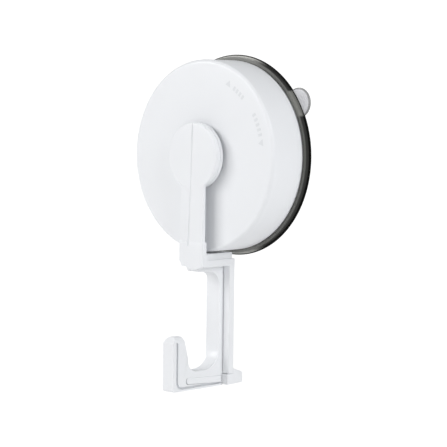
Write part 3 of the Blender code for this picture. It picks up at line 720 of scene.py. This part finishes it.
def makeHub():
    h = hook
    profile = [
        (0, h["hubFront"], 0), (hubRadius, h["hubFront"], h["hubRound"]), (hubRadius, h["rear"], 0.0003),
        (h["bossRadius"], h["rear"], 0.0002), (h["bossRadius"], h["bossLow"], 0.0003),
        (h["bore"], h["bossLow"], 0.0001), (h["bore"], h["boreTop"], 0), (0, h["boreTop"], 0),
    ]
    return turned("hub", rounded(profile, 6), h["hubSteps"], False)


def raked(obj, top, low, rise):  # tips the front of a slab out towards its lower end
    for vert in obj.data.vertices:
        if vert.co.z > hook["armFront"] - hook["rakeLap"]:
            vert.co.z += rise * min(max((top - vert.co.y) / (top - low), 0), 1)
    return obj


def makeArm():
    h = hook
    half, low, top = h["armHalf"], h["armLow"], h["armTop"]
    rise = h["blockFront"] - h["armFront"]
    lower = h["armFront"] - h["riseHeight"]
    plate = boxSlab("arm", (-half, low, h["armRear"]), (half, top, lower))
    centre = boxSlab("rise", (h["riseLeft"], low, h["riseRear"]), (half, top, h["armFront"]))
    pieces = [softened(raked(piece, top, low, rise), h["armEdge"]) for piece in (plate, centre)]
    ribFront = h["armRear"] + h["ribLap"]
    pieces.append(boxSlab("rib", (-h["ribHalf"], low, h["rear"]), (h["ribHalf"], top, ribFront)))
    webs = ((half, h["webRound"], lower), (-h["riseLeft"], h["riseRound"], h["armFront"] + sliver))
    for side, corner, front in webs:
        outline = webOutline(hubRadius - h["webLap"], side, corner)
        pieces.append(faceSlab("web", outline, h["armRear"], front))
    return pieces


def makeCrease():  # a fine fold line down the hub and the arm
    h = hook
    front, spot = h["hubFront"], h["creaseSpot"]
    left, right, above = spot - h["creaseWide"], spot + h["creaseSteep"], front + past
    section = [(left, front), (spot, front - h["creaseDepth"]), (right, front), (right, above), (left, above)]
    crease = crossSlab("crease", section, h["armLow"], hubRadius + past)
    for vert in crease.data.vertices:
        vert.co.x += h["creaseLean"] * vert.co.y
        if vert.co.y < 0:
            vert.co.z += h["blockFront"] - front
    return crease


def makeBlock():
    h = hook
    half = h["armHalf"]
    corners = [(-half, h["blockTop"], 0), *h["blockCorners"], (half, h["blockTop"], 0)]
    block = faceSlab("block", rounded(corners, 6), h["blockRear"], h["blockFront"] + sliver)
    return softened(block, h["blockEdge"], 3, 50)


def hookOutline():
    h = hook
    inner = h["underRear"]
    corners = [
        (h["plateFront"] - past, h["shelfTop"] - past, 0), (inner, h["shelfTop"] - past, 0),
        (inner, h["underRib"], h["underRound"]), (h["columnFront"], h["underRib"], h["cornerRound"]),
        (h["columnFront"], h["throatLow"], h["throatRear"]),
        (h["throatFront"], h["throatLow"], h["throatRound"]),
        (h["throatFront"], h["throatTaper"], h["taperRound"]), (h["tipRear"], h["tipTop"], h["tipRound"]),
        (hookHigh.z - h["tipFacet"], h["tipTop"], 0.0004), (hookHigh.z, h["tipFacetLow"], 0.0003),
        (hookHigh.z, h["low"], h["lowRound"]), (h["hookRear"], h["low"], 0.0004),
        (h["hookRear"], h["rearTop"], 0), (h["plateFront"] - past, h["plateLow"], 0),
    ]
    return rounded(corners, 10)


def prongOutline(gap, travel, rear):  # side view of a prong, or of its channel with a gap all round
    p = prong
    end = p["end"] + travel + gap
    return rounded([
        (rear, p["rearTop"] + gap, 0), (end, p["frontTop"] + gap, p["round"]),
        (end, p["frontLow"] - gap, p["round"]), (rear, p["rearLow"] - gap, 0),
    ], 8)


def grooveOutline():  # down the front of the J, round its corner and back under the prong
    h = hook
    half, front, low, turn = h["grooveHalf"], h["grooveFront"], h["grooveLow"], h["grooveRound"]
    rear = h["hookRear"] - past
    far, near = front + half, front - half
    outer = rounded([(rear, low - half, 0), (far, low - half, turn + half), (far, h["grooveTop"], 0)], 8)
    inner = rounded([(near, h["grooveTop"], 0), (near, low + half, turn - half), (rear, low + half, 0)], 8)
    return outer + inner


def makeJ():
    h = hook
    half = h["columnHalf"]
    body = sideSlab("jHook", hookOutline(), -half, half)
    cutters = []
    for side in (-1, 1):  # the tip is rounded over from both sides
        out, above = side * (half + past), h["tipTop"] + past
        curve = [(side * point.x, point.y) for point in arc((0, h["tipTop"] - half), half, 90, 0, 16)]
        corner = [(out, above), (0, above), *curve, (out, h["tipTop"] - half)]
        cutters.append(faceSlab("tipCorner", corner, h["tipCutRear"], hookHigh.z + past))
    combined(body, cutters, "DIFFERENCE")
    softened(body, h["hookEdge"], 3, 40)
    cutters = []
    channel = prongOutline(h["channelGap"], h["keeperTravel"], prong["rear"])
    for side in (-1, 1):
        floor, web, out = side * (half - h["grooveDepth"]), side * h["webHalf"], side * (half + past)
        cutters.append(sideSlab("groove", grooveOutline(), min(floor, out), max(floor, out)))
        cutters.append(sideSlab("channel", channel, min(web, out), max(web, out)))
    spot, height, reach = h["keeperDepth"], h["keeperHeight"], h["keeperSlot"]
    slot = arc((spot, height), reach, 90, 270, 12)
    slot += arc((spot + h["keeperTravel"], height), reach, -90, 90, 12)
    cutters.append(sideSlab("keeperSlot", slot, -h["webHalf"] - past, h["webHalf"] + past))
    return combined(body, cutters, "DIFFERENCE")


def makeHook():
    h = hook
    plateBack = h["plateRear"] + sliver
    slabs = (
        ("shelf", h["shelfHalf"], h["shelfLow"], h["shelfTop"], h["plateRear"], h["blockFront"] - past),
        ("shelfRib", h["shelfRibHalf"], h["shelfTop"] - past, h["shelfRibTop"],
         h["shelfRibRear"], h["shelfRibFront"]),
        ("plate", h["plateHalf"], h["plateLow"], h["plateTop"], plateBack, h["plateFront"]),
    )
    pieces = makeArm()
    pieces.append(makeBlock())
    for name, half, low, top, rear, front in slabs:
        pieces.append(softened(boxSlab(name, (-half, low, rear), (half, top, front)), h["softEdge"]))
    pieces.append(makeJ())
    body = combined(makeHub(), pieces, "UNION")
    cutters = [makeCrease()]
    for side in (-1, 1):  # a narrow seam in each corner between the column and the plate
        near, far = sorted((side * h["columnHalf"], side * (h["columnHalf"] + h["seamWide"])))
        deep, front = h["plateFront"] - h["seamDepth"], h["plateFront"] + h["seamReach"]
        cutters.append(boxSlab("seam", (near, h["plateLow"] + past, deep), (far, h["shelfLow"], front)))
    combined(body, cutters, "DIFFERENCE")
    body.name = "hookMoulding"
    return finished(body, white, "hook", ["hook_bracket"])


makeHook()
print("hook made")

# Collar behind the hub, and the foot
foot = {
    "half": 0.0050, "frontHalf": 0.0064, "low": -0.0980, "rear": 0.0009, "front": 0.0119, "middle": 0.0077,
    "step": -0.0934, "topSlope": ((0.0068, -0.0914), (0.00245, -0.0929)), "topRear": -0.0935, "edge": 0.0004,
    "notchHalf": 0.0033, "notchRear": 0.0107, "keeperHole": 0.0010, "keeperReach": 0.0028,
    "nubRows": 3, "nubColumns": 7, "nubPitch": 0.0011, "nubRadius": 0.00035,
    "padBack": 0.0002, "padEdge": 0.0002,
}
collarBore = 0.0071


def makeCollar():
    low, high = faceBox("pivot_collar")
    profile = [
        (collarBore, high.z, 0.0002), (high.x, high.z, 0.0003),
        (high.x, low.z, 0.0003), (collarBore, low.z, 0.0002),
    ]
    ring = turned("collar", rounded(profile, 5), hook["hubSteps"], True)
    return finished(ring, white, "base", ["pivot_collar"])


def makeFoot():
    f = foot
    outline = rounded([
        (f["rear"], f["low"], 0.0003), (f["front"], f["low"], 0.0004), (f["front"], f["step"], 0.0003),
        (f["middle"], f["step"], 0), (f["middle"], f["topSlope"][0][1], 0.0003), (*f["topSlope"][0], 0.0004),
        (*f["topSlope"][1], 0.0008), (f["rear"], f["topRear"], 0.0003),
    ], 6)
    block = sideSlab("foot", outline, -f["half"], f["half"])
    for vert in block.data.vertices:  # the block widens towards its front
        vert.co.x *= 1 + (f["frontHalf"] / f["half"] - 1) * vert.co.z / f["front"]
    softened(block, f["edge"], 3, 50)
    half, low, top = f["notchHalf"], f["low"] - past, f["step"] + past
    notch = boxSlab("notch", (-half, low, f["notchRear"]), (half, top, f["front"] + past))
    combined(block, [notch], "DIFFERENCE")
    sideView = prongOutline(0, 0, prong["rear"])
    pieces = []
    for side in (-1, 1):
        inner, outer = sorted((side * prong["inner"], side * prong["outer"]))
        pieces.append(softened(sideSlab("prong", sideView, inner, outer), prong["edge"], 3, 50))
    combined(block, pieces, "UNION")
    hole = circle((hook["keeperDepth"], hook["keeperHeight"]), f["keeperHole"], 24)
    combined(block, [sideSlab("keeperHole", hole, -f["keeperReach"], f["keeperReach"])], "DIFFERENCE")
    return finished(block, white, "foot", ["wall_foot"])


def nubTree():  # a grid of small soft domes
    tree, sockets, start = startTree("gripNubs", {
        "Columns": "Int", "Rows": "Int", "Width": "Float", "Height": "Float", "Radius": "Float",
        "Material": "Material",
    })
    grid = addNode(tree, "GeometryNodeMeshGrid", (-450, 100))
    dome = addNode(tree, "GeometryNodeMeshUVSphere", (-450, -200))
    dome.inputs["Segments"].default_value = 12
    dome.inputs["Rings"].default_value = 8
    place = addNode(tree, "GeometryNodeInstanceOnPoints", (-100, 0))
    join = tree.links.new
    join(start.outputs["Columns"], grid.inputs["Vertices X"])
    join(start.outputs["Rows"], grid.inputs["Vertices Y"])
    join(start.outputs["Width"], grid.inputs["Size X"])
    join(start.outputs["Height"], grid.inputs["Size Y"])
    join(start.outputs["Radius"], dome.inputs["Radius"])
    join(grid.outputs["Mesh"], place.inputs["Points"])
    join(dome.outputs["Mesh"], place.inputs["Instance"])
    endTree(tree, start, place.outputs["Instances"])
    return tree, sockets


def makeFootPad():
    f = foot
    soft = plastic(
        "softPale", (0.74, 0.75, 0.76), (0.70, 0.71, 0.72), (0.55, 0.68), 1800.0, 0.00003, 0.3, sheen=0.1,
    )
    low, high = faceBox("foot_pad")
    base = boxSlab("footPad", (low.x, low.y, f["padBack"]), (high.x, high.y, high.z))
    softened(base, f["padEdge"])
    tree, sockets = nubTree()
    nubs = grown("footNubs", tree, sockets, {
        "Columns": f["nubColumns"], "Rows": f["nubRows"], "Width": (f["nubColumns"] - 1) * f["nubPitch"],
        "Height": (f["nubRows"] - 1) * f["nubPitch"], "Radius": f["nubRadius"], "Material": soft,
    })
    middle = 0.5 * (low + high)
    nubs.data.transform(Matrix.Translation((0, middle.y, f["nubRadius"])))
    finished(nubs, soft, "foot")
    return finished(base, soft, "foot", ["foot_pad"])


makeCollar()
makeFoot()
makeFootPad()
print("collar and foot made")

# Pieces inside keep their shapes and take real finishes
natural = plastic(
    "naturalPlastic", (0.72, 0.70, 0.63), (0.66, 0.64, 0.58), (0.40, 0.55), 1500.0, 0.00003, 0.3,
)
plainSteel = steel("plainSteel", (0.60, 0.61, 0.62))
inside = {
    "base_shell": white, "pad_stem": white, "friction_washer": natural, "cam_ring": natural,
    "cross_pin": plainSteel, "stop_pin": plainSteel, "cam_screw_1": plainSteel, "cam_screw_2": plainSteel,
    "cam_screw_3": plainSteel, "pivot_washer": plainSteel, "pivot_screw": plainSteel, "keeper_pin": white,
}
for node, material in inside.items():
    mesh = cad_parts[node].data
    mesh.materials.clear()
    mesh.materials.append(material)
print("inside pieces finished:", len(inside))

# Camera, floor and light
view = {
    "azimuth": 43.50, "elevation": 1.86, "distance": 0.7287, "aim": (0, -0.012, 0),
    "turn": -0.18, "tilt": 2.28, "roll": 0.67, "lens": 137.7,
}


def makeCamera():
    az, el = math.radians(view["azimuth"]), math.radians(view["elevation"])
    place = Vector(view["aim"]) + view["distance"] * Vector(
        (math.sin(az) * math.cos(el), -math.cos(az) * math.cos(el), math.sin(el))
    )
    az += math.radians(view["turn"])
    el += math.radians(view["tilt"])
    back = Vector((math.sin(az) * math.cos(el), -math.cos(az) * math.cos(el), math.sin(el)))
    right = Vector((math.cos(az), math.sin(az), 0))
    roll = Matrix.Rotation(math.radians(view["roll"]), 3, "Z")
    pose = Matrix((right, back.cross(right), back)).transposed() @ roll
    data = bpy.data.cameras.new("camera")
    data.lens = view["lens"]
    data.sensor_width = 36
    camera = bpy.data.objects.new("camera", data)
    camera.matrix_world = Matrix.Translation(place) @ pose.to_4x4()
    bpy.context.scene.collection.objects.link(camera)
    bpy.context.scene.camera = camera


room = {
    "floorDrop": 0.18, "floorSize": 6.0, "floorThick": 0.005,
    "floorTone": (0.75, 0.75, 0.75), "floorGlow": 0.18, "floorSeen": 1.1,
    "skyTop": 0.42, "skyLow": 0.62, "skyFront": 0.22, "skySeen": 1.1, "skyTone": (0.985, 0.99, 1.0),
    "lampAim": (0, -0.01, -0.02),
}
lamps = {  # degrees left of the front, degrees up, distance, size, watts, colour
    "keyLight": (22, 24, 1.5, 0.95, 9.4, (1.0, 1.0, 1.0)),
    "edgeLight": (46, 22, 1.5, 0.30, 3.6, (1.0, 1.0, 1.0)),
    "sideLight": (-86, 28, 1.5, 1.1, 11.0, (0.98, 0.99, 1.0)),
}


def makeFloor():
    half, top = 0.5 * room["floorSize"], cadBox[0][2] - room["floorDrop"]
    floor = boxSlab("floor", (-half, -half, top - room["floorThick"]), (half, half, top))
    material = bpy.data.materials.new("paleFloor")
    material.use_nodes = True
    tree = material.node_tree
    shader = tree.nodes["Principled BSDF"]
    shader.inputs["Base Color"].default_value = (*room["floorTone"], 1)
    shader.inputs["Roughness"].default_value = 0.9
    shader.inputs["Emission Color"].default_value = (1, 1, 1, 1)
    shader.inputs["Emission Strength"].default_value = room["floorGlow"]
    seen = addNode(tree, "ShaderNodeEmission", (0, -300))
    seen.inputs["Strength"].default_value = room["floorSeen"]
    path = addNode(tree, "ShaderNodeLightPath", (0, 500))
    mix = addNode(tree, "ShaderNodeMixShader", (300, 100))
    tree.links.new(path.outputs["Is Camera Ray"], mix.inputs["Fac"])
    tree.links.new(shader.outputs["BSDF"], mix.inputs[1])
    tree.links.new(seen.outputs["Emission"], mix.inputs[2])
    tree.links.new(mix.outputs["Shader"], tree.nodes["Material Output"].inputs["Surface"])
    floor.data.materials.append(material)


def makeSky():
    world = bpy.data.worlds.new("studio")
    world.use_nodes = True
    bpy.context.scene.world = world
    tree = world.node_tree
    tree.nodes.clear()
    coords = addNode(tree, "ShaderNodeTexCoord", (-900, 0))
    split = addNode(tree, "ShaderNodeSeparateXYZ", (-700, 0))
    rise = addNode(tree, "ShaderNodeMapRange", (-500, 0))
    rise.inputs["From Min"].default_value = -0.1
    rise.inputs["From Max"].default_value = 0.1
    rise.inputs["To Min"].default_value = room["skyLow"]
    rise.inputs["To Max"].default_value = room["skyTop"]
    ahead = addNode(tree, "ShaderNodeMapRange", (-500, -300))  # darker towards the front
    ahead.inputs["From Min"].default_value = -1.0
    ahead.inputs["From Max"].default_value = 0.0
    ahead.inputs["To Min"].default_value = room["skyFront"]
    ahead.inputs["To Max"].default_value = 1.0
    strength = addNode(tree, "ShaderNodeMath", (-350, -100), operation="MULTIPLY")
    light = addNode(tree, "ShaderNodeBackground", (-250, 0))
    light.inputs["Color"].default_value = (*room["skyTone"], 1)
    seen = addNode(tree, "ShaderNodeBackground", (-250, -200))
    seen.inputs["Color"].default_value = (1, 1, 1, 1)
    seen.inputs["Strength"].default_value = room["skySeen"]
    path = addNode(tree, "ShaderNodeLightPath", (-250, 300))
    mix = addNode(tree, "ShaderNodeMixShader", (0, 0))
    end = addNode(tree, "ShaderNodeOutputWorld", (200, 0))
    join = tree.links.new
    join(coords.outputs["Generated"], split.inputs["Vector"])
    join(split.outputs["Z"], rise.inputs["Value"])
    join(split.outputs["Y"], ahead.inputs["Value"])
    join(rise.outputs["Result"], strength.inputs[0])
    join(ahead.outputs["Result"], strength.inputs[1])
    join(strength.outputs["Value"], light.inputs["Strength"])
    join(path.outputs["Is Camera Ray"], mix.inputs["Fac"])
    join(light.outputs["Background"], mix.inputs[1])
    join(seen.outputs["Background"], mix.inputs[2])
    join(mix.outputs["Shader"], end.inputs["Surface"])


def makeLight(name, left, up, distance, size, energy, tone):
    data = bpy.data.lights.new(name, "AREA")
    data.size = size
    data.energy = energy
    data.color = tone
    az, el = math.radians(left), math.radians(up)
    aim = Vector((-math.sin(az) * math.cos(el), -math.cos(az) * math.cos(el), math.sin(el)))
    light = bpy.data.objects.new(name, data)
    light.location = distance * aim + Vector(room["lampAim"])
    light.rotation_euler = (-aim).to_track_quat("-Z", "Y").to_euler()
    bpy.context.scene.collection.objects.link(light)


makeCamera()
makeFloor()
makeSky()
for lamp, values in lamps.items():
    makeLight(lamp, *values)
bpy.context.scene.view_settings.view_transform = "Standard"
print("camera, floor and light made")
